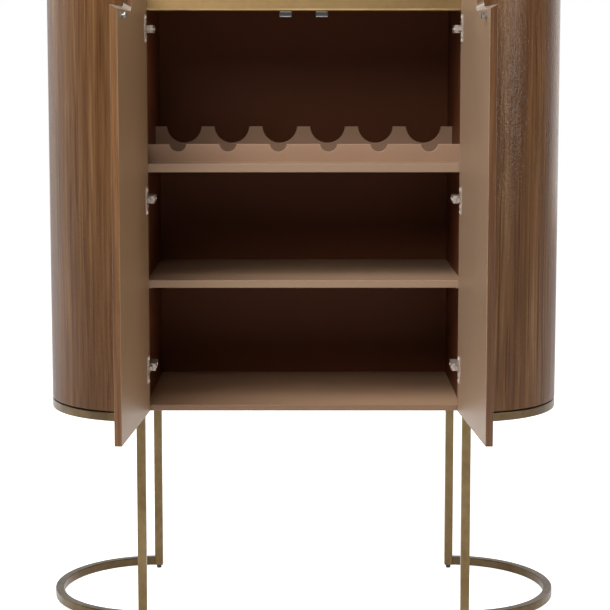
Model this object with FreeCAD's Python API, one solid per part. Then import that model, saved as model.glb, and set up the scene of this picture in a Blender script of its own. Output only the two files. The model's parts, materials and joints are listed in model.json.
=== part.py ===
import FreeCAD, Part
import math
import os

# Bar cabinet with a stadium plan: two half-round walnut ends, a flat middle with two
# hinged doors, shelves and a bottle rack inside, standing on two open brass end frames.
# Millimetres. X runs across the front, Y to the back, Z up. The origin is on the floor
# under the middle of the cabinet. The doors are drawn closed and then swung open, and
# open is the pose at rest.

# Overall sizes
overall_width = 1210.0
overall_depth = 464.0
overall_height = 1500.0

# End frames of square brass tube
frame_height = 497.0
tube_size = 20.0
tube_wall = 1.5
tube_corner = 2.0
glide_height = 9.0
glide_radius = 6.0
glide_edge_round = 1.2
glide_spigot_height = 8.0
glide_spigot_radius = 4.0
plug_thickness = 4.0

# Recessed steel plate that joins each frame to the cabinet and leaves the shadow line
base_plate_thickness = 3.0
base_plate_inset = 8.0
frame_screw_radius = 3.0
frame_screw_depth = 12.0
frame_screw_head_radius = 6.5
frame_screw_head_height = 2.5
frame_screw_angles = (-60.0, -20.0, 20.0, 60.0)
frame_screw_inset = 60.0

# Cabinet boards
end_joint_inset = 1.0
top_thickness = 26.0
top_edge_round = 2.0
shell_thickness = 12.0
shell_rim_round = 1.5
end_board_thickness = 16.0
former_thickness = 18.0
former_count = 3
side_thickness = 12.0
bottom_thickness = 14.0
ceiling_thickness = 16.0
back_thickness = 18.0
back_side_gap = 1.0
inner_back_thickness = 6.0
board_edge_round = 2.0

# Shelves and the pins under them
middle_shelf_thickness = 18.0
wine_shelf_thickness = 20.0
shelf_setback = 4.0
middle_shelf_height = 270.0
wine_shelf_height = 534.0
shelf_pin_radius = 2.5
shelf_pin_reach = 10.0
shelf_pin_depth = 9.0
shelf_pin_edge = 28.0
wine_shelf_pin_edge = 90.0
shelf_pin_round = 0.6

# Bottle rack: a low front rail for the necks and a tall rear rail for the bodies
bottle_pitch = 116.0
rail_thickness = 12.0
rail_edge_round = 1.5
front_rail_height = 41.0
neck_radius = 19.0
neck_seat_rise = 1.5
rear_rail_height = 74.0
rail_spacing = 198.0
bottle_radius = 42.0
bottle_seat_rise = 2.5

# Brass fascia over the opening, with the rail that carries it
fascia_drop = 47.0
fascia_thickness = 1.5
fascia_lip = 15.0
fascia_bend = 6.0
fascia_rail_round = 5.5
fascia_rail_thickness = 18.0

# Doors
door_thickness = 16.0
door_side_gap = 3.2
door_top_gap = 3.0
door_centre_gap = 2.5
door_back_gap = 3.2
door_corner_round = 1.5
door_rim_round = 1.0
door_open_angle = 94.0

# Finger notch in the upper free corner of each door
notch_length = 170.0
notch_below_fascia = 7.0
notch_corner = 15.0
notch_bevel_rise = 9.0
notch_bevel_run = 6.0

# Concealed cup hinges
hinge_edge_distance = 100.0
hinge_count = 3
pivot_inset = 8.0
cup_radius = 17.5
cup_depth = 12.0
cup_wall = 0.8
cup_margin = 3.5
flange_length = 62.0
flange_width = 22.0
flange_corner = 3.0
flange_thickness = 1.4
flange_cover = 7.5
hinge_pin_radius = 1.2
hinge_pin_end_gap = 0.2
hinge_boss_gap = 0.3
neck_width = 9.0
neck_thickness = 2.6
neck_reach = 13.0
eye_radius = 2.3
arm_height = 20.0
arm_width = 17.0
arm_wall = 1.6
arm_length = 60.0
arm_front_gap = 19.0
plate_thickness = 2.5
plate_wing_length = 48.0
plate_wing_width = 14.0
plate_wing_setback = 26.0
plate_rib_setback = 4.0

# Magnetic catches under the fascia and their strikes on the doors
catch_edge_distance = 39.5
catch_width = 28.0
catch_height = 14.0
catch_depth = 18.0
pole_thickness = 1.5
pole_proud = 0.7
pole_inset = 1.2
strike_below_fascia = 19.0
strike_height = 11.0
strike_radius = 7.2
strike_stem_radius = 3.0
strike_base_height = 2.0
strike_head_height = 3.0

# Clearances
glue_gap = 0.2
fit_gap = 0.1
running_gap = 0.05
shelf_gap = 0.5
catch_gap = 0.3
arm_rib_gap = 0.4
rail_arm_gap = 2.0

# Sizes that follow
end_radius = overall_depth / 2
end_centre = overall_width / 2 - end_radius
body_edge = end_centre - end_joint_inset
opening_width = 2 * (body_edge - side_thickness)
bottle_count = int(opening_width // bottle_pitch)
base_z = frame_height + base_plate_thickness
top_z = overall_height - top_thickness
floor_z = base_z + bottom_thickness
ceiling_z = top_z - ceiling_thickness
fascia_bottom = ceiling_z - fascia_drop
door_front = -end_radius
door_inner = door_front + door_thickness
carcass_front = door_inner + door_back_gap
outer_back = end_radius - back_thickness
cavity_back = outer_back - inner_back_thickness
door_edge = body_edge - door_side_gap
door_width = door_edge - door_centre_gap / 2
door_top = top_z - door_top_gap
pivot_x = door_edge - pivot_inset
pivot_y = door_front + door_thickness / 2
shelf_front = carcass_front + shelf_setback
leg_offset = end_radius - tube_size / 2
wine_shelf_top = floor_z + wine_shelf_height + wine_shelf_thickness
arm_front = pivot_y + arm_front_gap
front_rail_front = arm_front + arm_length + rail_arm_gap
rear_rail_front = front_rail_front + rail_thickness + rail_spacing
door_height = door_top - base_z
hinge_heights = [
    base_z + hinge_edge_distance + i * (door_height - 2 * hinge_edge_distance) / (hinge_count - 1)
    for i in range(hinge_count)
]
catch_x = door_centre_gap / 2 + catch_edge_distance
strike_z = fascia_bottom - strike_below_fascia
SIDES = (("left", -1), ("right", 1))

V = FreeCAD.Vector
UP = V(0, 0, 1)


def box(x0, x1, y0, y1, z0, z1):
    """A block between two corners, given in any order along X."""
    low = min(x0, x1)
    return Part.makeBox(abs(x1 - x0), y1 - y0, z1 - z0, V(low, y0, z0))


def cylinder(radius, length, base, direction=UP):
    return Part.makeCylinder(radius, length, base, direction)


def mirrored(shape, side):
    """The shape as drawn on the right, or its mirror image for the left side."""
    if side > 0:
        return shape
    return shape.mirror(V(0, 0, 0), V(1, 0, 0))


def stadium(inset, z0, z1):
    """The plan of the cabinet, drawn in by an inset, as a solid."""
    r = end_radius - inset
    c = end_centre
    edges = [
        Part.LineSegment(V(-c, -r, z0), V(c, -r, z0)).toShape(),
        Part.Arc(V(c, -r, z0), V(c + r, 0, z0), V(c, r, z0)).toShape(),
        Part.LineSegment(V(c, r, z0), V(-c, r, z0)).toShape(),
        Part.Arc(V(-c, r, z0), V(-c - r, 0, z0), V(-c, -r, z0)).toShape(),
    ]
    return Part.Face(Part.Wire(edges)).extrude(V(0, 0, z1 - z0))


def end_slice(inset, x0, x1, z0, z1):
    """The part of the stadium that lies between two distances right of the middle."""
    cutter = box(x0, x1, -overall_depth, overall_depth, z0 - 1, z1 + 1)
    return stadium(inset, z0, z1).common(cutter)


def round_edges(shape, radius, wanted):
    """Round the edges that the test picks out."""
    edges = [e for e in shape.Edges if wanted(e)]
    return shape.makeFillet(radius, edges)


def lies_at(edge, axis, value):
    """True for an edge that lies wholly at one value of x, y or z."""
    box_of_edge = edge.BoundBox
    low = getattr(box_of_edge, axis.upper() + "Min")
    high = getattr(box_of_edge, axis.upper() + "Max")
    return abs(low - value) < 0.01 and abs(high - value) < 0.01


def runs_along_z(edge):
    size = edge.BoundBox
    return size.ZLength > 1 and size.XLength < 0.01 and size.YLength < 0.01


def compound(solids):
    return Part.makeCompound(solids)


def tube_section(centre, inset):
    """A square tube outline with rounded corners, in the plane of X and Z."""
    half = tube_size / 2 - inset
    r = max(tube_corner - inset, 0.5)
    x, z = centre
    d = r * (1 - math.sqrt(0.5))
    corners = [(1, -1), (1, 1), (-1, 1), (-1, -1)]
    edges = []
    previous = None
    first = None
    for i, (sx, sz) in enumerate(corners):
        along_x = V(x + sx * (half - r), 0, z + sz * half)
        along_z = V(x + sx * half, 0, z + sz * (half - r))
        start, end = (along_x, along_z) if i % 2 == 0 else (along_z, along_x)
        middle = V(x + sx * (half - d), 0, z + sz * (half - d))
        if previous is not None:
            edges.append(Part.LineSegment(previous, start).toShape())
        else:
            first = start
        edges.append(Part.Arc(start, middle, end).toShape())
        previous = end
    edges.append(Part.LineSegment(previous, first).toShape())
    return Part.Wire(edges)


def end_shell():
    """The bent skin of a half-round end, with its lower rim eased."""
    outer = end_slice(0, body_edge, overall_width, base_z, top_z)
    rims = lambda e: lies_at(e, "z", base_z) and e.BoundBox.XLength > 1
    outer = round_edges(outer, shell_rim_round, rims)
    return outer.cut(stadium(shell_thickness, base_z - 1, top_z + 1))


def end_board():
    """The flat inner wall that closes the half-round end."""
    inset = shell_thickness + glue_gap
    return end_slice(inset, body_edge, body_edge + end_board_thickness, base_z, top_z)


def frame_screw_points():
    """Plan positions of the screws that hold a frame to its end of the cabinet."""
    r = end_radius - frame_screw_inset
    points = []
    for angle in frame_screw_angles:
        a = math.radians(angle)
        points.append((end_centre + r * math.cos(a), r * math.sin(a)))
    return points


def end_formers():
    """Half-round boards that the skin is bent over, at the bottom, middle and top."""
    inset = shell_thickness + glue_gap
    x0 = body_edge + end_board_thickness
    step = (top_z - base_z - former_thickness) / (former_count - 1)
    boards = []
    for i in range(former_count):
        z = base_z + i * step
        boards.append(end_slice(inset, x0, overall_width, z, z + former_thickness))
    for x, y in frame_screw_points():
        hole = cylinder(frame_screw_radius + running_gap, frame_screw_depth + 0.5, V(x, y, base_z))
        boards[0] = boards[0].cut(hole)
    return compound(boards)


def base_plate():
    """The steel half-disc between frame and cabinet, drawn back for a shadow line."""
    plate = end_slice(base_plate_inset, body_edge, overall_width, frame_height, base_z)
    for x, y in frame_screw_points():
        bore = cylinder(frame_screw_radius + running_gap, base_plate_thickness, V(x, y, frame_height))
        plate = plate.cut(bore)
    return plate


def frame_screws():
    """Wafer-head screws through the base plate into the bottom former."""
    screws = []
    for x, y in frame_screw_points():
        shank_length = base_plate_thickness + frame_screw_depth
        shank = cylinder(frame_screw_radius, shank_length, V(x, y, frame_height))
        head_base = V(x, y, frame_height - frame_screw_head_height)
        head = cylinder(frame_screw_head_radius, frame_screw_head_height, head_base)
        head = round_edges(head, 1.0, lambda e: lies_at(e, "z", head_base.z))
        screws.append(head.fuse(shank))
    return compound(screws)


def half_ring(z_middle):
    """Square tube bent to a half circle, its ends stopping against the two legs."""
    outer = Part.Face(tube_section((leg_offset, z_middle), 0))
    inner = Part.Face(tube_section((leg_offset, z_middle), tube_wall))
    axis = V(0, 0, 0)
    ring = outer.revolve(axis, UP, 180).cut(inner.revolve(axis, UP, 180))
    ring.rotate(axis, UP, -90)
    ring.translate(V(end_centre, 0, 0))
    reach = overall_width
    kept = box(end_centre + tube_size / 2, reach, -reach, reach, 0, overall_height)
    return ring.common(kept)


def leg(y_side):
    """An upright of square tube, closed at its foot by a plug."""
    half = tube_size / 2
    x = end_centre
    y = y_side * leg_offset
    outer = box(x - half, x + half, y - half, y + half, glide_height, frame_height)
    outer = round_edges(outer, tube_corner, runs_along_z)
    inner_half = half - tube_wall
    inner_low = glide_height + plug_thickness
    inner = box(x - inner_half, x + inner_half, y - inner_half, y + inner_half, inner_low, frame_height)
    bore = cylinder(glide_spigot_radius + fit_gap, plug_thickness, V(x, y, glide_height))
    return outer.cut(inner).cut(bore)


def glides():
    """Turned feet under one frame, each with a spigot that goes up into the leg's plug."""
    feet = []
    for y in (-leg_offset, leg_offset):
        foot = cylinder(glide_radius, glide_height, V(end_centre, y, 0))
        foot = round_edges(foot, glide_edge_round, lambda e: lies_at(e, "z", 0))
        spigot = cylinder(glide_spigot_radius, glide_spigot_height, V(end_centre, y, glide_height))
        feet.append(foot.fuse(spigot))
    return compound(feet)


def top_board():
    """The stadium-shaped top with eased upper and lower edges."""
    board = stadium(0, top_z, overall_height)
    return round_edges(board, top_edge_round, lambda e: not runs_along_z(e))


def front_eased(board, y_front):
    """A board with its two long front edges eased."""
    front = lambda e: lies_at(e, "y", y_front) and e.BoundBox.XLength > 100
    return round_edges(board, board_edge_round, front)


def bottom_panel():
    board = box(-body_edge, body_edge, carcass_front, outer_back, base_z, floor_z)
    return front_eased(board, carcass_front)


def ceiling_panel():
    return box(-body_edge, body_edge, carcass_front, outer_back, ceiling_z, top_z)


def shelf_pin_points():
    """Depth and height of each shelf pin in a side panel."""
    points = []
    for height, edge in ((middle_shelf_height, shelf_pin_edge), (wine_shelf_height, wine_shelf_pin_edge)):
        z = floor_z + height - shelf_pin_radius
        for y in (shelf_front + edge, cavity_back - shelf_gap - edge):
            points.append((y, z))
    return points


def side_panel():
    """The inner side wall, drilled for the shelf pins."""
    x0 = opening_width / 2
    panel = box(x0, body_edge, carcass_front, outer_back, floor_z, ceiling_z)
    panel = round_edges(panel, board_edge_round, lambda e: runs_along_z(e) and lies_at(e, "y", carcass_front))
    for y, z in shelf_pin_points():
        hole = cylinder(shelf_pin_radius + running_gap, shelf_pin_depth, V(x0, y, z), V(1, 0, 0))
        panel = panel.cut(hole)
    return panel


def shelf_pins():
    """Four steel pins under each shelf, two in each side wall."""
    inner_end = opening_width / 2 - shelf_pin_reach
    length = shelf_pin_reach + shelf_pin_depth - fit_gap
    pins = []
    for y, z in shelf_pin_points():
        pin = cylinder(shelf_pin_radius, length, V(inner_end, y, z), V(1, 0, 0))
        pin = round_edges(pin, shelf_pin_round, lambda e: lies_at(e, "x", inner_end))
        pins.append(pin)
        pins.append(mirrored(pin, -1))
    return compound(pins)


def inner_back():
    half = opening_width / 2
    return box(-half, half, cavity_back, cavity_back + inner_back_thickness, floor_z, ceiling_z)


def back_panel():
    half = body_edge - back_side_gap
    return box(-half, half, outer_back, end_radius, base_z, top_z)


def shelf(height, thickness):
    half = opening_width / 2 - shelf_gap
    z = floor_z + height
    board = box(-half, half, shelf_front, cavity_back - shelf_gap, z, z + thickness)
    return front_eased(board, shelf_front)


def scalloped_rail(y0, height, radius, rise):
    """A rail on the wine shelf with a round seat for every bottle, centred a rise above it."""
    half = opening_width / 2 - shelf_gap
    z0 = wine_shelf_top
    z1 = z0 + height
    rail = box(-half, half, y0, y0 + rail_thickness, z0, z1)
    first = -(bottle_count - 1) / 2
    for i in range(bottle_count):
        x = (first + i) * bottle_pitch
        seat = cylinder(radius, rail_thickness + 2, V(x, y0 - 1, z1 + rise), V(0, 1, 0))
        rail = rail.cut(seat)
    on_face = lambda e: lies_at(e, "y", y0) or lies_at(e, "y", y0 + rail_thickness)
    at_end = lambda e: lies_at(e, "x", -half) or lies_at(e, "x", half)
    upper = lambda e: on_face(e) and not at_end(e) and not lies_at(e, "z", z0)
    return round_edges(rail, rail_edge_round, upper)


def fascia_rail():
    """The wooden rail under the ceiling that carries the brass, rounded where the brass folds."""
    half = opening_width / 2
    y0 = carcass_front + fascia_thickness
    z0 = fascia_bottom + fascia_thickness
    rail = box(-half, half, y0, y0 + fascia_rail_thickness, z0, ceiling_z)
    return round_edges(rail, fascia_rail_round, lambda e: lies_at(e, "y", y0) and lies_at(e, "z", z0))


def brass_fascia():
    """Folded brass: a face over the rail and a lip under it."""
    half = opening_width / 2 - glue_gap
    y0 = carcass_front
    face = box(-half, half, y0, y0 + fascia_thickness, fascia_bottom, ceiling_z)
    lip = box(-half, half, y0, y0 + fascia_lip, fascia_bottom, fascia_bottom + fascia_thickness)
    folded = face.fuse(lip).removeSplitter()
    t = fascia_thickness
    outside = lambda e: lies_at(e, "y", y0) and lies_at(e, "z", fascia_bottom)
    inside = lambda e: lies_at(e, "y", y0 + t) and lies_at(e, "z", fascia_bottom + t)
    folded = round_edges(folded, fascia_bend - t, inside)
    return round_edges(folded, fascia_bend, outside)


def door_panel():
    """The right door, closed, with its cup pockets and the bevelled finger notch."""
    x0 = door_edge - door_width
    panel = box(x0, door_edge, door_front, door_inner, base_z, door_top)
    panel = round_edges(panel, door_corner_round, runs_along_z)
    panel = round_edges(panel, door_rim_round, lambda e: lies_at(e, "z", base_z))
    for z in hinge_heights:
        mouth = V(door_edge - cup_margin - cup_radius, door_inner, z)
        panel = panel.cut(cylinder(cup_radius + fit_gap, cup_depth + fit_gap, mouth, V(0, -1, 0)))
    return panel.cut(finger_notch())


def notch_outline(y, bevel):
    """The notch in elevation at one depth; bevel runs from 0 inside to 1 outside."""
    free = door_edge - door_width - 5
    end = door_edge - door_width + notch_length - bevel * notch_bevel_run
    low = fascia_bottom - notch_below_fascia + bevel * notch_bevel_rise
    high = door_top + 5
    r = notch_corner
    d = r * (1 - math.sqrt(0.5))
    arc = Part.Arc(V(end - r, y, low), V(end - d, y, low + d), V(end, y, low + r)).toShape()
    points = [V(end, y, low + r), V(end, y, high), V(free, y, high), V(free, y, low), V(end - r, y, low)]
    lines = [Part.LineSegment(a, b).toShape() for a, b in zip(points[:-1], points[1:])]
    return Part.Wire([arc] + lines)


def finger_notch():
    over = 1.0
    slope = over / door_thickness
    inner = notch_outline(door_inner + over, -slope)
    outer = notch_outline(door_front - over, 1 + slope)
    return Part.makeLoft([inner, outer], True, True)


def hinge_cup(z):
    """A cup let into the door's inner face, with a straight flange that covers its far side."""
    x = door_edge - cup_margin - cup_radius
    mouth = V(x, door_inner, z)
    inward = V(0, -1, 0)
    body = cylinder(cup_radius, cup_depth, mouth, inward)
    half_length = flange_length / 2
    half_width = flange_width / 2
    flange = box(x - half_width, x + half_width,
                 door_inner, door_inner + flange_thickness, z - half_length, z + half_length)
    flange = round_edges(flange, flange_corner, lambda e: abs(e.BoundBox.YLength - flange_thickness) < 0.01)
    hollow = cylinder(cup_radius - cup_wall, cup_depth - cup_wall, mouth, inward)
    opening = cylinder(cup_radius - cup_wall, flange_thickness, mouth, V(0, 1, 0))
    cover_edge = x - half_width + flange_cover
    opening = opening.common(box(cover_edge, x + cup_radius, door_inner, arm_front, z - cup_radius, z + cup_radius))
    cup = body.fuse(flange).cut(hollow).cut(opening)
    boss_start = neck_width / 2 + hinge_boss_gap
    for side in (-1, 1):
        boss = cylinder(eye_radius, cup_radius, V(pivot_x, pivot_y, z + side * boss_start), V(0, 0, side))
        cup = cup.fuse(boss.common(cylinder(cup_radius, cup_depth, mouth, inward)))
    bore = cylinder(hinge_pin_radius + running_gap, 2 * cup_radius, V(pivot_x, pivot_y, z - cup_radius))
    return cup.cut(bore).removeSplitter()


def hinge_pins():
    """The pins that the hinge arms turn on, held in the bosses of the cups."""
    across = pivot_x - (door_edge - cup_margin - cup_radius) + hinge_pin_radius
    half = math.sqrt(cup_radius ** 2 - across ** 2) - hinge_pin_end_gap
    return compound([
        cylinder(hinge_pin_radius, 2 * half, V(pivot_x, pivot_y, z - half))
        for z in hinge_heights
    ])


def hinge_plate(z):
    """The mounting plate on the side wall: two wings and a rib that the arm clips over."""
    wall = opening_width / 2
    y0 = arm_front + plate_wing_setback
    half_wing = plate_wing_length / 2 - plate_wing_width / 2
    y_mid = y0 + plate_wing_width / 2
    wing = box(wall - plate_thickness, wall, y0, y0 + plate_wing_width, z - half_wing, z + half_wing)
    for side in (-1, 1):
        end = V(wall - plate_thickness, y_mid, z + side * half_wing)
        wing = wing.fuse(cylinder(plate_wing_width / 2, plate_thickness, end, V(1, 0, 0)))
    foot = box(wall - plate_thickness, wall, arm_front + plate_rib_setback, arm_front + arm_length,
               z - arm_width / 2, z + arm_width / 2)
    rib_half = arm_width / 2 - arm_wall - arm_rib_gap
    rib = box(wall - arm_height + arm_wall, wall - plate_thickness,
              arm_front + plate_rib_setback, arm_front + arm_length, z - rib_half, z + rib_half)
    return wing.fuse(foot).fuse(rib).removeSplitter()


def hinge_arm(z):
    """A channel clipped over the plate, with a bent neck that reaches into the cup."""
    wall = opening_width / 2
    top = wall - arm_height
    block = box(top, wall - plate_thickness, arm_front, arm_front + arm_length,
                z - arm_width / 2, z + arm_width / 2)
    block = round_edges(block, 1.0, lambda e: lies_at(e, "x", top) and e.BoundBox.YLength > 10)
    inner_half = arm_width / 2 - arm_wall
    hollow = box(top + arm_wall, wall, arm_front + arm_wall, arm_front + arm_length + 1,
                 z - inner_half, z + inner_half)
    block = block.cut(hollow)
    half = neck_thickness / 2
    x = pivot_x - neck_reach
    z0 = z - neck_width / 2
    z1 = z + neck_width / 2
    leg_of_neck = box(x - half, x + half, pivot_y, arm_front + arm_wall, z0, z1)
    bend = cylinder(half, neck_width, V(x, pivot_y, z0))
    foot_of_neck = box(x, pivot_x, pivot_y - half, pivot_y + half, z0, z1)
    eye = cylinder(eye_radius, neck_width, V(pivot_x, pivot_y, z0))
    neck = leg_of_neck.fuse(bend).fuse(foot_of_neck).fuse(eye)
    bore = cylinder(hinge_pin_radius + running_gap, neck_width, V(pivot_x, pivot_y, z0))
    return block.fuse(neck).cut(bore).removeSplitter()


def catch_housing():
    """The black case of a magnetic catch, screwed up under the fascia rail."""
    x = catch_x
    y0 = door_inner + strike_height + catch_gap + pole_proud
    half = catch_width / 2
    case = box(x - half, x + half, y0, y0 + catch_depth, fascia_bottom - catch_height, fascia_bottom)
    case = round_edges(case, 1.0, lambda e: runs_along_z(e))
    for z in pole_heights():
        slot = box(x - half, x + half, y0, y0 + catch_depth / 2, z, z + pole_thickness)
        case = case.cut(slot)
    return case


def pole_heights():
    """Undersides of the two steel pole strips in a catch."""
    low = fascia_bottom - catch_height + pole_inset
    high = fascia_bottom - pole_inset - pole_thickness
    return (low, high)


def catch_poles():
    """The two steel strips that the strike meets."""
    x = catch_x
    y0 = door_inner + strike_height + catch_gap
    half = catch_width / 2 - 1.0
    depth = catch_depth / 2 + pole_proud - fit_gap
    return compound([box(x - half, x + half, y0, y0 + depth, z, z + pole_thickness) for z in pole_heights()])


def strike():
    """A turned steel stud on the door that meets the catch when the door is shut."""
    base = V(catch_x, door_inner, strike_z)
    out = V(0, 1, 0)
    stud = cylinder(strike_radius, strike_base_height, base, out)
    stud = stud.fuse(cylinder(strike_stem_radius, strike_height, base, out))
    head_base = base + out * (strike_height - strike_head_height)
    head = cylinder(strike_radius, strike_head_height, head_base, out)
    tip = base.y + strike_height
    head = round_edges(head, 0.8, lambda e: lies_at(e, "y", tip))
    return stud.fuse(head).removeSplitter()


def swung_open(shape, side):
    """A door piece, drawn closed on the right, placed on its side and swung open."""
    placed = mirrored(shape, side)
    placed = placed.copy()
    placed.rotate(V(side * pivot_x, pivot_y, 0), UP, side * door_open_angle)
    return placed


def export(name, shape):
    solids = shape.Solids
    if not solids or not shape.isValid():
        raise ValueError("bad solid in " + name)
    shape.exportStep("parts/" + name + ".step")
    print("%-26s solids %2d  volume %10.1f" % (name, len(solids), shape.Volume))


def export_cabinet_body():
    """The middle of the cabinet, between the two half-round ends."""
    export("top_board", top_board())
    export("bottom_panel", bottom_panel())
    export("ceiling_panel", ceiling_panel())
    export("back_panel", back_panel())
    export("inner_back_panel", inner_back())
    export("fascia_rail", fascia_rail())
    export("brass_fascia", brass_fascia())
    export("middle_shelf", shelf(middle_shelf_height, middle_shelf_thickness))
    export("wine_shelf", shelf(wine_shelf_height, wine_shelf_thickness))
    export("shelf_pins", shelf_pins())
    export("neck_rail", scalloped_rail(front_rail_front, front_rail_height, neck_radius, neck_seat_rise))
    export("bottle_rail", scalloped_rail(rear_rail_front, rear_rail_height, bottle_radius, bottle_seat_rise))


def export_end(name, side):
    """One half-round end of the cabinet with the brass frame under it."""
    export(name + "_end_shell", mirrored(end_shell(), side))
    export(name + "_end_board", mirrored(end_board(), side))
    export(name + "_end_formers", mirrored(end_formers(), side))
    export(name + "_side_panel", mirrored(side_panel(), side))
    export(name + "_base_plate", mirrored(base_plate(), side))
    export(name + "_frame_screws", mirrored(frame_screws(), side))
    export(name + "_upper_ring", mirrored(half_ring(frame_height - tube_size / 2), side))
    export(name + "_floor_ring", mirrored(half_ring(glide_height + tube_size / 2), side))
    for place, y_side in (("front", -1), ("rear", 1)):
        export(name + "_" + place + "_leg", mirrored(leg(y_side), side))
    export(name + "_glides", mirrored(glides(), side))


def export_door(name, side):
    """One door with its hinges, catch and strike."""
    export(name + "_door_panel", swung_open(door_panel(), side))
    for level, z in zip(("lower", "middle", "upper"), hinge_heights):
        export(name + "_hinge_cup_" + level, swung_open(hinge_cup(z), side))
        export(name + "_hinge_arm_" + level, mirrored(hinge_arm(z), side))
    export(name + "_hinge_plates", mirrored(compound([hinge_plate(z) for z in hinge_heights]), side))
    export(name + "_hinge_pins", swung_open(hinge_pins(), side))
    export(name + "_strike", swung_open(strike(), side))
    export(name + "_catch", mirrored(catch_housing(), side))
    export(name + "_catch_poles", mirrored(catch_poles(), side))


os.makedirs("parts", exist_ok=True)
export_cabinet_body()
for side_name, side_sign in SIDES:
    export_end(side_name, side_sign)
    export_door(side_name, side_sign)
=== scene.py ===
import json
import math

import bmesh
import bpy
from mathutils import Matrix, Vector


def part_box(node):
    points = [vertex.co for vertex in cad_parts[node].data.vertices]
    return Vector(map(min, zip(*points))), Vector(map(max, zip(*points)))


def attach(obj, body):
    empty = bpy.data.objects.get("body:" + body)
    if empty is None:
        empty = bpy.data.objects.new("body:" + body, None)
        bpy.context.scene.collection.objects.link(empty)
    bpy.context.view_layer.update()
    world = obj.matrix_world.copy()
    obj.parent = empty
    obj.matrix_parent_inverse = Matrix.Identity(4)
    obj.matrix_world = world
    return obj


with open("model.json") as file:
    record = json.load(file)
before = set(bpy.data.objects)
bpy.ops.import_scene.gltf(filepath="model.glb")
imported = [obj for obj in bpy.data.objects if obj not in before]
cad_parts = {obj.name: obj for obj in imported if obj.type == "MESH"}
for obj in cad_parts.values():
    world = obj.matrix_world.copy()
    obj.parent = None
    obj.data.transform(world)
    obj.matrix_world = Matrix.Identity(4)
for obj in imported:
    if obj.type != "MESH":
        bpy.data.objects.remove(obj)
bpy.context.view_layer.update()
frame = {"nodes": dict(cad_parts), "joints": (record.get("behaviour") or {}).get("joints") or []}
nodes = frame["nodes"]

# The two doors: side, pivot, opening at rest, and where their zones begin
sides = {"left": -1, "right": 1}
pivots = {}
for joint in frame["joints"]:
    pivots[sides[joint["child"].split("_")[0]]] = Vector(joint["pos_m"])
door_angle = 94.0
inner_face_depth = 0.0072
free_edge_band = 0.0015
bevel_steepness = 0.35
notch_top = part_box("brass_fascia")[0][2] + 0.015

# Walnut: noise per metre across and along the grain, then its colours
wander_scale = (3.0, 3.0, 1.1)
wander_reach = 0.035
figure_scale = (19, 19, 0.9)
streak_scale = (170, 170, 3.2)
line_scale = (125, 125, 2.4)
pore_scale = (900, 900, 16)
mottle_scale = (150, 150, 105)
figure_share = 0.55
streak_share = 0.45
walnut_tones = (
    (0.36, (0.066, 0.026, 0.0088)),
    (0.47, (0.098, 0.044, 0.0160)),
    (0.55, (0.132, 0.063, 0.0240)),
    (0.66, (0.205, 0.115, 0.0540)),
)
dark_line_colour = (0.044, 0.014, 0.005)
dark_line_strength = 0.6
pore_colour = (0.034, 0.014, 0.006)
pore_strength = 0.45

# Doors: each stands in a light of its own, so lacquer and front edge have a tone per side: painted shade on
# the left door's lacquer, painted light on the left door's edge and painted shade on the right door's edge
door_lacquers_with_painted_shade = {-1: (0.222, 0.133, 0.071), 1: (0.272, 0.176, 0.112)}
edge_painted_light_and_shade = {-1: (1.3, 1.22, 0.92), 1: (0.60, 0.45, 0.27)}
# The bevel's pale colour is a painted sheen on the walnut; its smoothing is a real lower roughness
bevel_painted_sheen = (0.29, 0.235, 0.19)
bevel_smoothing = 0.2

# Hinge screws: places from the pivots and the arms' boxes
cup_from_pivot = 0.0130
flange_above_pivot = 0.0094
flange_screw_spread = 0.0255
arm_behind_pivot = 0.019
plate_thickness = 0.0025
plate_screw_setback = 0.0330
plate_screw_spread = 0.0170
arm_screw_setbacks = {"front": 0.009, "rear": 0.047}

# Hinge screws: radius and height of the heads, and shares of these for their form
flange_head = (0.0033, 0.0011)
plate_head = (0.0036, 0.0013)
arm_head = (0.0031, 0.0011)
recess_reach = 0.58
recess_half_arm = 0.2
dome_profile = ((1.0, 0), (1.0, 0.35), (0.93, 0.68), (0.80, 0.88), (0.66, 1.0))
recess_profile = ((1.0, 1.0), (0.9, 0.45))

# The view: lens in pixels, tilt, place, and the picture's middle in pixels
picture_size = 610
sensor_width = 36.0
focal_length = 1695.84
camera_pitch = 0.1029
camera_back = 4.0481
camera_up = 1.2904
middle_x = 303.7
middle_y = 240.0

# The studio: floor, and greys of the world from front to back
floor_reach = 9.0
floor_glow = 0.12
floor_glow_seen = 0.80
world_greys = ((0.0, 0.05), (0.4, 0.05), (0.6, 0.10), (0.85, 0.8))
world_blue = 0.98
backdrop_begins = 0.3
backdrop_full = 0.8


# Node trees
shader_sockets = {
    "colour": "Base Color",
    "roughness": "Roughness",
    "metallic": "Metallic",
    "normal": "Normal",
    "specular": "Specular IOR Level",
    "coat": "Coat Weight",
    "coat_roughness": "Coat Roughness",
    "coat_normal": "Coat Normal",
}


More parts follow.
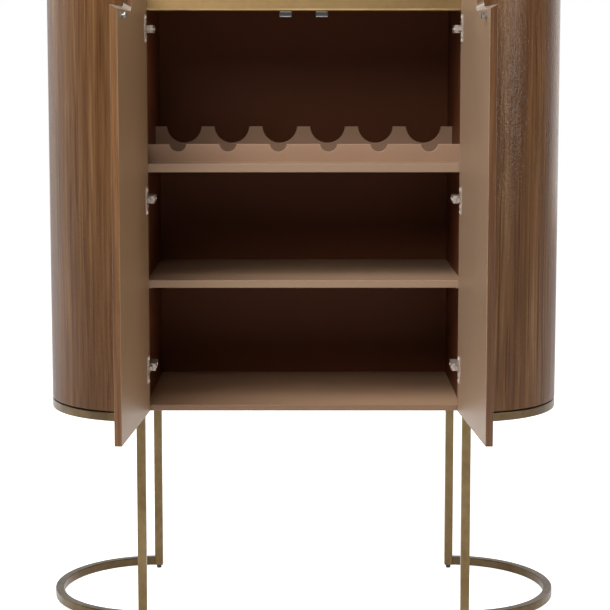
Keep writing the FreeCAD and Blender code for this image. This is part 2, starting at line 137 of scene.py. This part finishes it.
class Nodes:
    """A short way to write a node tree."""

    def __init__(self, tree):
        self.tree = tree
        self.places = self.new("ShaderNodeTexCoord").outputs
        self.place = self.places["Object"]

    def new(self, kind, **settings):
        node = self.tree.nodes.new(kind)
        for key, value in settings.items():
            setattr(node, key, value)
        return node

    def link(self, source, target):
        self.tree.links.new(source, target)

    def put(self, value, socket):
        """Link a socket, or set a plain number, vector or colour."""
        if isinstance(value, bpy.types.NodeSocket):
            self.link(value, socket)
        else:
            socket.default_value = value

    def stretched(self, scale, source=None, turn=(0, 0, 0)):
        node = self.new("ShaderNodeMapping")
        node.inputs["Scale"].default_value = scale
        node.inputs["Rotation"].default_value = turn
        self.link(source or self.place, node.inputs["Vector"])
        return node.outputs["Vector"]

    def noise(self, vector, scale=1.0, detail=3.0, roughness=0.5):
        node = self.new("ShaderNodeTexNoise")
        node.inputs["Scale"].default_value = scale
        node.inputs["Detail"].default_value = detail
        node.inputs["Roughness"].default_value = roughness
        self.link(vector, node.inputs["Vector"])
        return node.outputs["Fac"]

    def math(self, operation, first, second=0.0):
        node = self.new("ShaderNodeMath", operation=operation)
        self.put(first, node.inputs[0])
        self.put(second, node.inputs[1])
        return node.outputs[0]

    def vector_math(self, operation, first, second):
        node = self.new("ShaderNodeVectorMath", operation=operation)
        self.put(first, node.inputs[0])
        self.put(second, node.inputs[1])
        return node.outputs["Value" if operation == "DOT_PRODUCT" else "Vector"]

    def ranged(self, value, low, high, to_low=0.0, to_high=1.0):
        node = self.new("ShaderNodeMapRange")
        self.link(value, node.inputs["Value"])
        node.inputs["From Min"].default_value = low
        node.inputs["From Max"].default_value = high
        node.inputs["To Min"].default_value = to_low
        node.inputs["To Max"].default_value = to_high
        return node.outputs["Result"]

    def ramp(self, value, stops):
        node = self.new("ShaderNodeValToRGB")
        elements = node.color_ramp.elements
        while len(elements) < len(stops):
            elements.new(0.5)
        for element, (position, colour) in zip(elements, stops):
            element.position = position
            element.color = (*colour, 1.0)
        self.link(value, node.inputs["Fac"])
        return node.outputs["Color"]

    def mix(self, factor, first, second, blend_type="MIX"):
        """Mix two colours, each a socket or a plain red, green and blue."""
        node = self.new("ShaderNodeMix", data_type="RGBA", blend_type=blend_type)
        self.put(factor, node.inputs[0])
        for colour, socket in ((first, node.inputs[6]), (second, node.inputs[7])):
            self.put((*colour, 1.0) if isinstance(colour, tuple) else colour, socket)
        return node.outputs[2]

    def bump(self, height, strength, distance):
        node = self.new("ShaderNodeBump")
        node.inputs["Strength"].default_value = strength
        node.inputs["Distance"].default_value = distance
        self.link(height, node.inputs["Height"])
        return node.outputs["Normal"]

    def upward(self):
        """1 on faces that look straight up, 0 on upright faces."""
        normal = self.new("ShaderNodeNewGeometry").outputs["True Normal"]
        return self.vector_math("DOT_PRODUCT", normal, (0, 0, 1))

    def finish(self, **sockets):
        for key, value in sockets.items():
            self.put(value, self.shader.inputs[shader_sockets[key]])
        return self.material


def new_material(name):
    """The node tree of a new material, with the material and its shader at hand."""
    material = bpy.data.materials.new(name)
    material.use_nodes = True
    n = Nodes(material.node_tree)
    n.material = material
    n.shader = n.tree.nodes["Principled BSDF"]
    return n


def scaled(colour, factor):
    return tuple(factor * part for part in colour)


# Layers of wood and lacquer: colour, roughness and height
def bent_place(n, turn):
    """Places shifted a little sideways, so that the grain wanders."""
    wander = n.noise(n.stretched(wander_scale, turn=turn), detail=2.0)
    sideways = n.math("MULTIPLY", n.math("SUBTRACT", wander, 0.5), wander_reach)
    shift = n.new("ShaderNodeCombineXYZ")
    n.link(sideways, shift.inputs["X"])
    n.link(sideways, shift.inputs["Y"])
    return n.vector_math("ADD", n.stretched((1, 1, 1), turn=turn), shift.outputs["Vector"])


def walnut_layers(n, turn=(0, 0, 0)):
    """Straight-grained walnut along Z, or along the axis that a turn brings to Z."""
    bent = bent_place(n, turn)
    figure = n.noise(n.stretched(figure_scale, bent), detail=3.0, roughness=0.6)
    streaks = n.noise(n.stretched(streak_scale, bent), detail=4.0, roughness=0.62)
    lines = n.noise(n.stretched(line_scale, bent), detail=2.0, roughness=0.5)
    pores = n.noise(n.stretched(pore_scale, bent), detail=2.0, roughness=0.6)
    broad = n.math("MULTIPLY", figure, figure_share)
    fine = n.math("MULTIPLY", streaks, streak_share)
    colour = n.ramp(n.math("ADD", broad, fine), walnut_tones)
    dark_line = n.math("MULTIPLY", n.ranged(lines, 0.59, 0.66), dark_line_strength)
    colour = n.mix(dark_line, colour, dark_line_colour)
    open_pore = n.ranged(pores, 0.60, 0.74)
    colour = n.mix(n.math("MULTIPLY", open_pore, pore_strength), colour, pore_colour)
    roughness = n.ranged(streaks, 0.3, 0.7, 0.36, 0.47)
    height = n.math("SUBTRACT", n.math("MULTIPLY", streaks, 0.5), n.math("MULTIPLY", open_pore, 0.8))
    return colour, roughness, height


def lacquer_layers(n, base):
    """Satin lacquer with a faint cloud and orange peel."""
    cloud = n.noise(n.place, scale=7.0, detail=3.0)
    speck = n.noise(n.place, scale=420.0, detail=2.0)
    colour = n.ramp(cloud, ((0.3, scaled(base, 0.97)), (0.7, scaled(base, 1.03))))
    colour = n.mix(n.ranged(speck, 0.3, 0.7, 0.0, 0.08), colour, scaled(base, 0.7))
    roughness = n.ranged(cloud, 0.3, 0.7, 0.42, 0.46)
    return colour, roughness, speck


# Finishes
def walnut(name, turn=(0, 0, 0), coat=0.24, coat_roughness=0.12):
    """Oiled veneer: the coat's bump has the pores and a broader mottle, which breaks up the sheen."""
    n = new_material(name)
    colour, roughness, height = walnut_layers(n, turn)
    mottle = n.noise(n.stretched(mottle_scale, turn=turn), detail=2.0, roughness=0.6)
    relief = n.math("ADD", height, n.math("MULTIPLY", mottle, 4.0))
    return n.finish(
        colour=colour, roughness=roughness, normal=n.bump(height, 0.35, 0.0004), specular=0.03,
        coat=coat, coat_roughness=coat_roughness, coat_normal=n.bump(relief, 0.6, 0.0006))


def lacquer(name, base, specular=0.3):
    n = new_material(name)
    colour, roughness, height = lacquer_layers(n, base)
    normal = n.bump(height, 0.08, 0.0003)
    return n.finish(colour=colour, roughness=roughness, normal=normal, specular=specular)


def shelf_finish(name, above, edge_low, edge_high):
    """Lacquer on a board's upper face, and another tone with long faint streaks elsewhere: the same lacquer,
    lighter above by painted light and darker on the edges by painted shade.
    """
    n = new_material(name)
    colour, roughness, height = lacquer_layers(n, above)
    # Faces that do not look up get the darker edge tone: painted shade against the upper face's painted light
    edge = n.math("SUBTRACT", 1.0, n.ranged(n.upward(), 0.5, 0.95))
    streaks = n.noise(n.stretched((4, 60, 300)))
    colour = n.mix(edge, colour, n.mix(streaks, edge_low, edge_high))
    normal = n.bump(height, 0.08, 0.0003)
    return n.finish(colour=colour, roughness=roughness, normal=normal, specular=0.3)


def door_zones(n, name, side):
    """1 on the inner face, on the free edge and on the notch's bevel of a door, each in turn."""
    angle = math.radians(door_angle)
    pivot = pivots[side]
    inward = Vector((-side * math.sin(angle), math.cos(angle), 0))
    along = Matrix.Rotation(angle * side, 3, "Z") @ Vector((-side, 0, 0))
    low_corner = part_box(name.replace("finish", "panel"))[0]
    width = (pivot[1] - low_corner[1]) / -along[1]
    depth = n.vector_math("DOT_PRODUCT", n.place, tuple(inward))
    inside = n.math("GREATER_THAN", depth, inward.dot(pivot) + inner_face_depth)
    reach = n.vector_math("DOT_PRODUCT", n.place, tuple(along))
    free_edge = n.math("GREATER_THAN", reach, along.dot(pivot) + width - free_edge_band)
    height = n.vector_math("DOT_PRODUCT", n.place, (0, 0, 1))
    facing_up = n.math("GREATER_THAN", n.upward(), bevel_steepness)
    bevel = n.math("MULTIPLY", facing_up, n.math("LESS_THAN", height, notch_top))
    return inside, free_edge, bevel


def door_finish(name, side):
    """Walnut outside and on the edges, lacquer on the inner face, and a paler tone on the bevel that is a
    painted sheen; the left door's darker lacquer is painted shade, and the free edge's tone is painted light
    on the left door and painted shade on the right.
    """
    n = new_material(name)
    wood, wood_roughness, wood_height = walnut_layers(n)
    # The left door's lacquer is darker than the right door's by painted shade
    paint, paint_roughness, _ = lacquer_layers(n, door_lacquers_with_painted_shade[side])
    inside, free_edge, bevel = door_zones(n, name, side)
    # The free edge's walnut times a tone per side: painted light on the left door, painted shade on the right
    # door
    wood = n.mix(free_edge, wood, n.mix(1.0, wood, edge_painted_light_and_shade[side], "MULTIPLY"))
    # On the bevel the walnut is replaced by a pale colour, a painted sheen
    colour = n.mix(bevel, n.mix(inside, wood, paint), bevel_painted_sheen)
    change = n.math("SUBTRACT", paint_roughness, wood_roughness)
    roughness = n.math("ADD", wood_roughness, n.math("MULTIPLY", inside, change))
    roughness = n.math("SUBTRACT", roughness, n.math("MULTIPLY", bevel, bevel_smoothing))
    relief = n.math("MULTIPLY", wood_height, n.math("SUBTRACT", 1.0, inside))
    normal = n.bump(relief, 0.35, 0.0004)
    return n.finish(colour=colour, roughness=roughness, normal=normal, specular=0.4)


def brass(name, light, dark, roughness):
    """Antique brass with fine brushing and a soft cloudy patina."""
    n = new_material(name)
    cloud = n.noise(n.place, scale=9.0, detail=4.0, roughness=0.6)
    blotch = n.noise(n.place, scale=55.0, detail=3.0, roughness=0.6)
    brushed = n.noise(n.stretched((60, 60, 900)), detail=3.0, roughness=0.6)
    tone = n.math("ADD", n.math("MULTIPLY", cloud, 0.65), n.math("MULTIPLY", blotch, 0.35))
    colour = n.ramp(tone, ((0.32, dark), (0.66, light)))
    colour = n.mix(n.ranged(brushed, 0.35, 0.7, 0.0, 0.18), colour, dark)
    scratches = n.ranged(brushed, 0.3, 0.7, 0.0, 0.1)
    patina = n.ranged(tone, 0.3, 0.7, roughness + 0.05, roughness - 0.03)
    normal = n.bump(brushed, 0.12, 0.0002)
    return n.finish(colour=colour, roughness=n.math("ADD", scratches, patina), metallic=1.0, normal=normal)


def steel(name, low, high, roughness, metallic):
    """Plated steel with faint handling marks."""
    n = new_material(name)
    smudge = n.noise(n.place, scale=160.0, detail=4.0, roughness=0.65)
    colour = n.ramp(smudge, ((0.3, low), (0.7, high)))
    rough = n.ranged(smudge, 0.3, 0.7, roughness, roughness + 0.12)
    return n.finish(colour=colour, roughness=rough, metallic=metallic, normal=n.bump(smudge, 0.05, 0.0002))


def dark_finish(name, low, high, roughness, grain):
    """Dark powder coat or moulded plastic."""
    n = new_material(name)
    speck = n.noise(n.place, scale=grain, detail=2.0)
    colour = n.ramp(speck, ((0.35, low), (0.7, high)))
    rough = n.ranged(speck, 0.3, 0.7, roughness, roughness + 0.12)
    return n.finish(colour=colour, roughness=rough, normal=n.bump(speck, 0.2, 0.0003))


def board(name):
    """Unfinished particle board of the hidden carcass."""
    n = new_material(name)
    chips = n.noise(n.place, scale=380.0, detail=4.0, roughness=0.7)
    colour = n.ramp(chips, ((0.3, (0.30, 0.20, 0.11)), (0.5, (0.47, 0.34, 0.21)), (0.72, (0.62, 0.49, 0.33))))
    return n.finish(colour=colour, roughness=0.85, normal=n.bump(chips, 0.4, 0.0006))


walnut_upright = walnut("walnut_upright")
walnut_top = walnut("walnut_top", turn=(0, math.radians(90), 0), coat=0.04, coat_roughness=0.35)
lacquer_brown = lacquer("lacquer_brown", (0.322, 0.196, 0.125))
# The inner back, ceiling and side walls get the lacquer made much darker and redder: painted shade
lacquer_cavity_painted_shade = lacquer("lacquer_cavity_painted_shade", (0.116, 0.037, 0.0145), specular=0.1)
lacquer_floor = shelf_finish(
    "lacquer_floor", above=(0.385, 0.238, 0.149),
    edge_low=(0.18, 0.098, 0.054), edge_high=(0.225, 0.13, 0.074))
lacquer_shelf = shelf_finish(
    "lacquer_shelf", above=(0.31, 0.200, 0.127),
    edge_low=(0.275, 0.178, 0.114), edge_high=(0.290, 0.188, 0.120))
brass_frame = brass(
    "brass_frame", light=(0.172, 0.121, 0.060), dark=(0.106, 0.070, 0.031), roughness=0.32)
# Rings: the frame's brass made darker, painted shade
brass_ring_painted_shade = brass(
    "brass_ring_painted_shade", light=(0.120, 0.083, 0.046), dark=(0.069, 0.046, 0.023), roughness=0.30)
brass_polished = brass(
    "brass_fascia_finish", light=(0.406, 0.270, 0.124), dark=(0.307, 0.195, 0.083), roughness=0.34)
nickel = steel(
    "nickel", low=(0.30, 0.249, 0.212), high=(0.57, 0.482, 0.418), roughness=0.40, metallic=0.65)
# Hinge cups: a paler, warmer copy of the hinge nickel, painted light
flange_nickel_painted_light = steel(
    "flange_nickel_painted_light", low=(0.42, 0.345, 0.275), high=(0.68, 0.560, 0.455), roughness=0.42, metallic=0.5)
# Screw heads: a near-white copy of the hinge nickel, painted glints
screw_nickel_painted_glint = steel(
    "screw_nickel_painted_glint", low=(0.78, 0.72, 0.66), high=(0.90, 0.84, 0.78), roughness=0.40, metallic=0.65)
strip_steel = steel(
    "strip_steel", low=(0.36, 0.36, 0.35), high=(0.46, 0.46, 0.45), roughness=0.34, metallic=0.7)
polished_steel = steel(
    "polished_steel", low=(0.22, 0.225, 0.22), high=(0.30, 0.305, 0.30), roughness=0.36, metallic=1.0)
# Base plates: dark powder-coated steel that holds the frames, whose dark tone also stands in for the shade of
# the gap under the body: painted shade
black_steel = dark_finish(
    "black_steel", low=(0.070, 0.048, 0.034), high=(0.100, 0.072, 0.052), roughness=0.6, grain=700.0)
black_plastic = dark_finish(
    "black_plastic", low=(0.014, 0.013, 0.013), high=(0.028, 0.027, 0.026), roughness=0.45, grain=500.0)
bare_board = board("bare_board")

# Which finish each piece has, by its whole name or else by its ending
finish_by_name = {
    "left_door_panel": door_finish("left_door_finish", -1),
    "right_door_panel": door_finish("right_door_finish", 1),
    "top_board": walnut_top,
    "back_panel": walnut_upright,
    "brass_fascia": brass_polished,
    "fascia_rail": bare_board,
    "inner_back_panel": lacquer_cavity_painted_shade,
    "ceiling_panel": lacquer_cavity_painted_shade,
    "bottom_panel": lacquer_floor,
    "neck_rail": lacquer_brown,
    "bottle_rail": lacquer_brown,
    "shelf_pins": nickel,
}
finish_by_ending = {
    "_end_shell": walnut_upright,
    "_end_board": bare_board,
    "_end_formers": bare_board,
    "_ring": brass_ring_painted_shade,
    "_leg": brass_frame,
    "_base_plate": black_steel,
    "_glides": black_plastic,
    "_catch": black_plastic,
    "_catch_poles": strip_steel,
    "_strike": polished_steel,
    "_frame_screws": polished_steel,
    "_side_panel": lacquer_cavity_painted_shade,
    "_shelf": lacquer_shelf,
    "_hinge_pins": nickel,
    "_hinge_plates": nickel,
}


def finish_for(name):
    if name in finish_by_name:
        return finish_by_name[name]
    if "_hinge_cup_" in name:
        return flange_nickel_painted_light
    if "_hinge_arm_" in name:
        return nickel
    return next(finish for ending, finish in finish_by_ending.items() if name.endswith(ending))


for name, node in nodes.items():
    node.data.materials.clear()
    node.data.materials.append(finish_for(name))


def added(name, data):
    """A new object in the scene."""
    thing = bpy.data.objects.new(name, data)
    bpy.context.scene.collection.objects.link(thing)
    return thing


# Small screws of the hinges
def recess_angles(turn):
    """Angles round a head that meet every corner of its cross recess."""
    eighth = (0, turn, (turn + math.pi / 4) / 2)
    angles = []
    for quarter in range(4):
        start = quarter * math.pi / 2
        angles += [start + part for part in eighth]
        angles += [start + math.pi / 4]
        angles += [start + math.pi / 2 - part for part in eighth[:0:-1]]
    return angles


def recess_radius(angle, turn, reach, half_arm):
    """How far the edge of a cross recess lies from the head's axis."""
    local = angle % (math.pi / 2)
    local = min(local, math.pi / 2 - local)
    if local <= turn + 1e-6:
        return reach / math.cos(local)
    return half_arm / math.sin(local)


def head_rows(shell, radius, height):
    """Rings of points from the foot of a head, over its dome and down into its recess."""
    reach = recess_reach * radius
    half_arm = recess_half_arm * radius
    turn = math.atan2(half_arm, reach)
    angles = recess_angles(turn)
    rim = [radius for _ in angles]
    cross = [recess_radius(angle, turn, reach, half_arm) for angle in angles]
    rows = []
    for outline, profile in ((rim, dome_profile), (cross, recess_profile)):
        for scale, level in profile:
            row = []
            for angle, distance in zip(angles, outline):
                r = scale * distance
                row.append(shell.verts.new((r * math.cos(angle), r * math.sin(angle), level * height)))
            rows.append(row)
    return rows


def head_mesh(name, place, outward, radius, height):
    """A closed pan head whose underside lies at a place on a surface."""
    shell = bmesh.new()
    rows = head_rows(shell, radius, height)
    count = len(rows[0])
    for lower, upper in zip(rows, rows[1:]):
        for i in range(count):
            j = (i + 1) % count
            shell.faces.new((lower[i], lower[j], upper[j], upper[i]))
    shell.faces.new(rows[-1])
    shell.faces.new(list(reversed(rows[0])))
    bmesh.ops.recalc_face_normals(shell, faces=shell.faces)
    facing = Vector(outward).to_track_quat("Z", "Y").to_matrix().to_4x4()
    shell.transform(Matrix.Translation(place) @ facing)
    mesh = bpy.data.meshes.new(name)
    shell.to_mesh(mesh)
    shell.free()
    # The heads' near-white nickel is a painted glint
    mesh.materials.append(screw_nickel_painted_glint)
    return mesh


def screw_head(name, place, outward, size, body):
    piece = added(name, head_mesh(name, place, outward, *size))
    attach(piece, body)


def hinge_screws(side_name, level):
    """Screws of one hinge: in the flange on the door, and in the plate and arm on the wall."""
    side = sides[side_name]
    pivot = pivots[side]
    swing = Matrix.Rotation(math.radians(side * door_angle), 4, "Z")
    inner_side = 0 if side > 0 else 1
    wall_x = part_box(side_name + "_side_panel")[inner_side][0]
    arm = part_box("%s_hinge_arm_%s" % (side_name, level))
    arm_y = pivot[1] + arm_behind_pivot
    z = (arm[0][2] + arm[1][2]) / 2
    for row, way in (("under", -1), ("over", 1)):
        shut = Vector((-side * cup_from_pivot, flange_above_pivot, 0))
        place = swing @ shut + Vector((pivot[0], pivot[1], z + way * flange_screw_spread))
        screw_head("%s_flange_screw_%s_%s" % (side_name, level, row), place,
                   swing @ Vector((0, 1, 0)), flange_head, side_name + "_door")
        plate_z = z + way * plate_screw_spread
        place = Vector((wall_x - side * plate_thickness, arm_y + plate_screw_setback, plate_z))
        screw_head("%s_plate_screw_%s_%s" % (side_name, level, row), place,
                   (-side, 0, 0), plate_head, "cabinet")
    for row, setback in arm_screw_setbacks.items():
        place = (arm[inner_side][0], arm_y + setback, z)
        screw_head("%s_arm_screw_%s_%s" % (side_name, level, row), place,
                   (-side, 0, 0), arm_head, "cabinet")


for side_name in sides:
    for hinge_level in ("lower", "middle", "upper"):
        hinge_screws(side_name, hinge_level)


# Floor, world, lamps and camera
def seen_rays(n, polish=None):
    """1 for camera and transmitted rays, and for reflected ones, times polish where that is given."""
    path = n.new("ShaderNodeLightPath").outputs
    direct = n.math("MAXIMUM", path["Is Camera Ray"], path["Is Transmission Ray"])
    glossy = path["Is Glossy Ray"]
    if polish:
        glossy = n.math("MULTIPLY", glossy, polish)
    return n.math("MAXIMUM", direct, glossy)


def floor_paper():
    """White paper that glows faintly, and brightly where it is seen or reflected."""
    n = new_material("floor_paper")
    grain = n.noise(n.place, scale=30.0, detail=2.0)
    paper = n.ramp(grain, ((0.3, (0.80, 0.80, 0.80)), (0.7, (0.82, 0.82, 0.82))))
    n.finish(colour=paper, roughness=0.9, specular=0.0)
    glow = n.new("ShaderNodeEmission")
    n.link(n.ranged(seen_rays(n), 0, 1, floor_glow, floor_glow_seen), glow.inputs["Strength"])
    total = n.new("ShaderNodeAddShader")
    n.link(n.shader.outputs["BSDF"], total.inputs[0])
    n.link(glow.outputs["Emission"], total.inputs[1])
    n.link(total.outputs["Shader"], n.tree.nodes["Material Output"].inputs["Surface"])
    return n.material


def stage_floor():
    mesh = bpy.data.meshes.new("floor")
    corners = [(x * floor_reach, y * floor_reach, 0) for x, y in ((-1, -1), (1, -1), (1, 1), (-1, 1))]
    mesh.from_pydata(corners, [], [(0, 1, 2, 3)])
    mesh.materials.append(floor_paper())
    floor = added("floor", mesh)


def world_light():
    """White where the camera looks and in reflections from behind, and grey elsewhere, darkest in front."""
    world = bpy.data.worlds.new("studio")
    bpy.context.scene.world = world
    world.use_nodes = True
    n = Nodes(world.node_tree)
    parts = n.new("ShaderNodeSeparateXYZ")
    n.link(n.places["Generated"], parts.inputs["Vector"])
    backward = parts.outputs["Y"]
    stops = [(position, (grey, grey, grey * world_blue)) for position, grey in world_greys]
    dim = n.ramp(n.ranged(backward, -1.0, 1.0), stops)
    behind = n.ranged(backward, backdrop_begins, backdrop_full)
    colour = n.mix(seen_rays(n, behind), dim, (1.0, 1.0, 1.0))
    n.link(colour, n.tree.nodes["Background"].inputs["Color"])


def area_light(name, place, target, size, power, colour=(1, 1, 1)):
    data = bpy.data.lights.new(name, "AREA")
    data.shape = "RECTANGLE"
    data.size, data.size_y = size
    data.energy = power
    data.color = colour
    lamp = added(name, data)
    lamp.location = place
    lamp.rotation_euler = (Vector(target) - Vector(place)).to_track_quat("-Z", "Y").to_euler()


def camera():
    """A long lens four metres off, looking a little down, with the picture's frame shifted."""
    data = bpy.data.cameras.new("camera")
    data.sensor_width = sensor_width
    data.lens = focal_length / picture_size * sensor_width
    data.shift_x = (picture_size / 2 - middle_x) / picture_size
    data.shift_y = (middle_y - picture_size / 2) / picture_size
    view = added("camera", data)
    view.location = (0, -camera_back, camera_up)
    view.rotation_euler = (math.pi / 2 - camera_pitch, 0, 0)
    bpy.context.scene.camera = view


stage_floor()
world_light()
area_light("key", place=(-1.6, -2.2, 4.4), target=(0, -0.2, 0.95), size=(2.4, 2.4), power=203)
area_light("low_key", place=(-0.9, -2.8, 2.5), target=(0, -0.2, 1.1), size=(1.6, 0.8), power=31)
area_light("left_rear", place=(-3.2, 1.6, 1.3), target=(-0.5, 0, 0.9), size=(2.8, 2.6), power=30)
area_light("left_side", place=(-3.4, -0.2, 1.1), target=(-0.5, 0, 0.85), size=(1.8, 2.2), power=12)
area_light("right_rear", place=(2.42, 2.52, 1.8), target=(0.5, 0, 1.2), size=(2.2, 2.4), power=22)
area_light("right_strip", place=(2.75, -1.75, 1.85), target=(0.45, -0.15, 1.25), size=(1.0, 1.9), power=49,
           colour=(1.0, 0.96, 0.92))
area_light("right_fill", place=(2.3, -2.6, 2.2), target=(0, -0.3, 0.95), size=(1.0, 1.8), power=6,
           colour=(1.0, 0.85, 0.68))
camera()
bpy.context.scene.view_settings.view_transform = "Standard"
